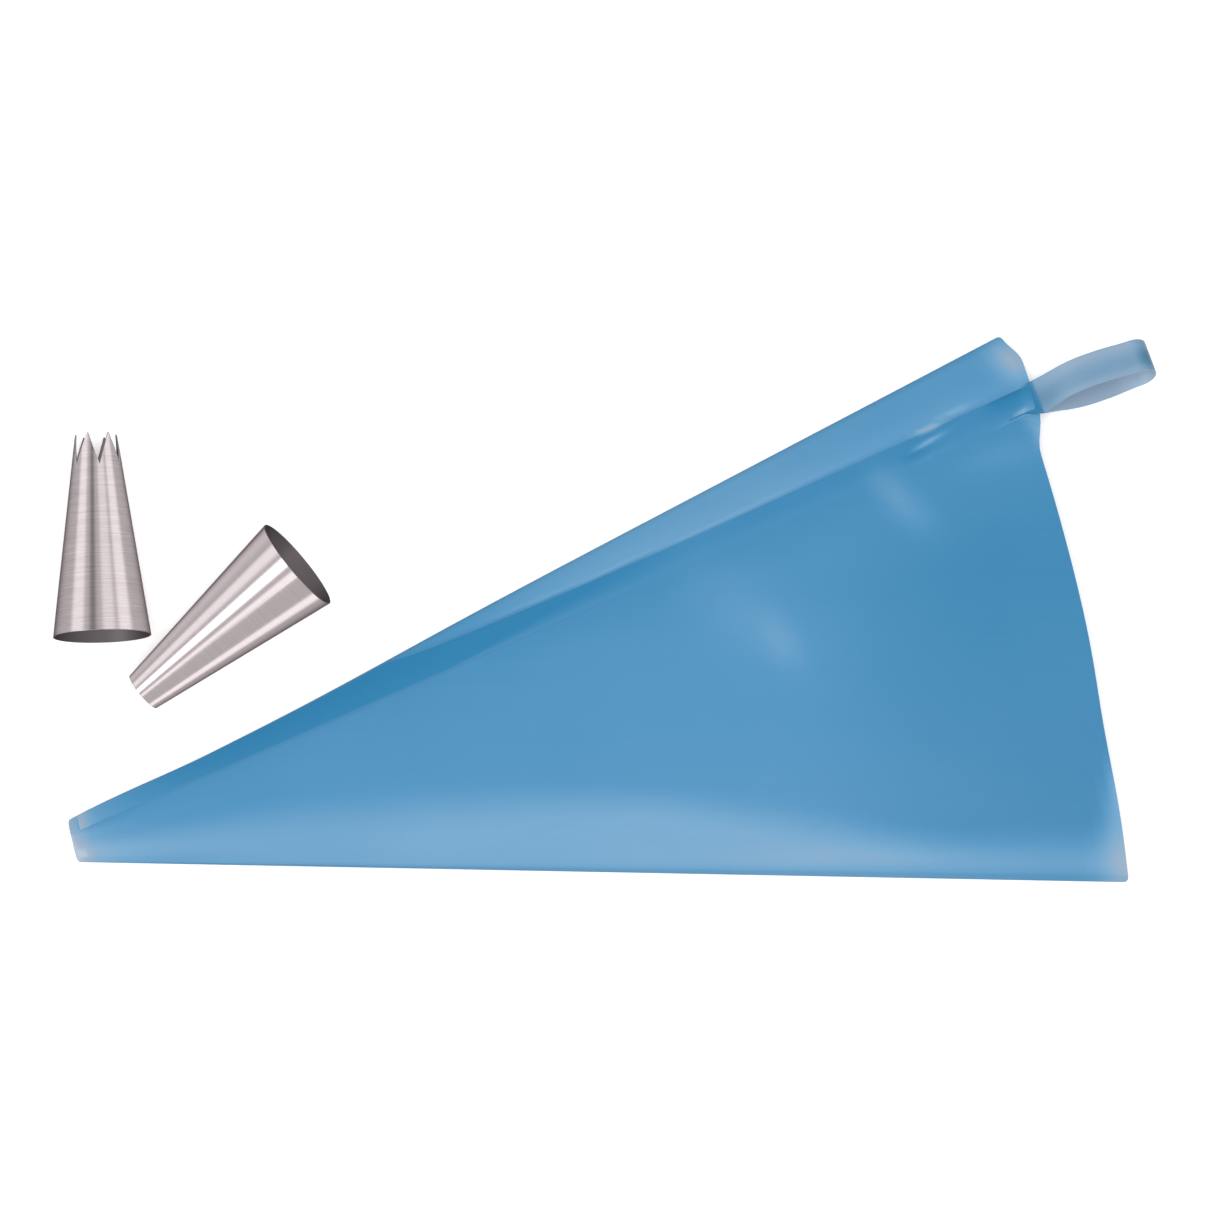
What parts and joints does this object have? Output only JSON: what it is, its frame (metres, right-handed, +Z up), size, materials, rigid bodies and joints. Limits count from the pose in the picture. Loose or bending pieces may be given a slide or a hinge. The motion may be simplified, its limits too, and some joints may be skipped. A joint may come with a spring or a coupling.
{
  "type": "piping bag set",
  "caption": "Reusable cone-shaped piping bag of translucent film with a hanging loop at the mouth, laid flat beside an open star nozzle and a plain round nozzle.",
  "frame": {"origin": "middle of the set's footprint, on the surface that it lies on", "axes": "+X from the bag's cut tip towards its mouth along the set's long side, +Y towards the seam side and the nozzles' teeth, +Z up from the surface"},
  "size_m": [0.315, 0.1574, 0.0286],
  "materials": {
    "bag_film": "satin translucent thermoplastic polyurethane film, blue",
    "seam_film": "the same film doubled and welded, a deeper blue",
    "strap_film": "the same film as a narrow strap, paler",
    "nozzle_steel": "drawn stainless steel sheet, turned and polished"
  },
  "bodies": {
    "bag": {"bag_body": "bag_film", "seam_strip": "seam_film", "loop_tab": "strap_film"},
    "loop": {"hanging_loop": "strap_film"},
    "star": {"star_nozzle": "nozzle_steel"},
    "plain": {"plain_nozzle": "nozzle_steel"}
  },
  "joints": [
    {"name": "loop_hinge", "type": "hinge", "parent": "bag", "child": "loop", "pos_m": [0.1223, 0.0602, 0.01047], "axis": [0.3152, -0.926, 0.2079], "range_deg": [0, 110]},
    {"name": "star_lift", "type": "slide", "parent": "bag", "child": "star", "axis": [0, 0, 1], "range_m": [0, 0.12]},
    {"name": "plain_lift", "type": "slide", "parent": "bag", "child": "plain", "axis": [0, 0, 1], "range_m": [0, 0.12]}
  ]
}
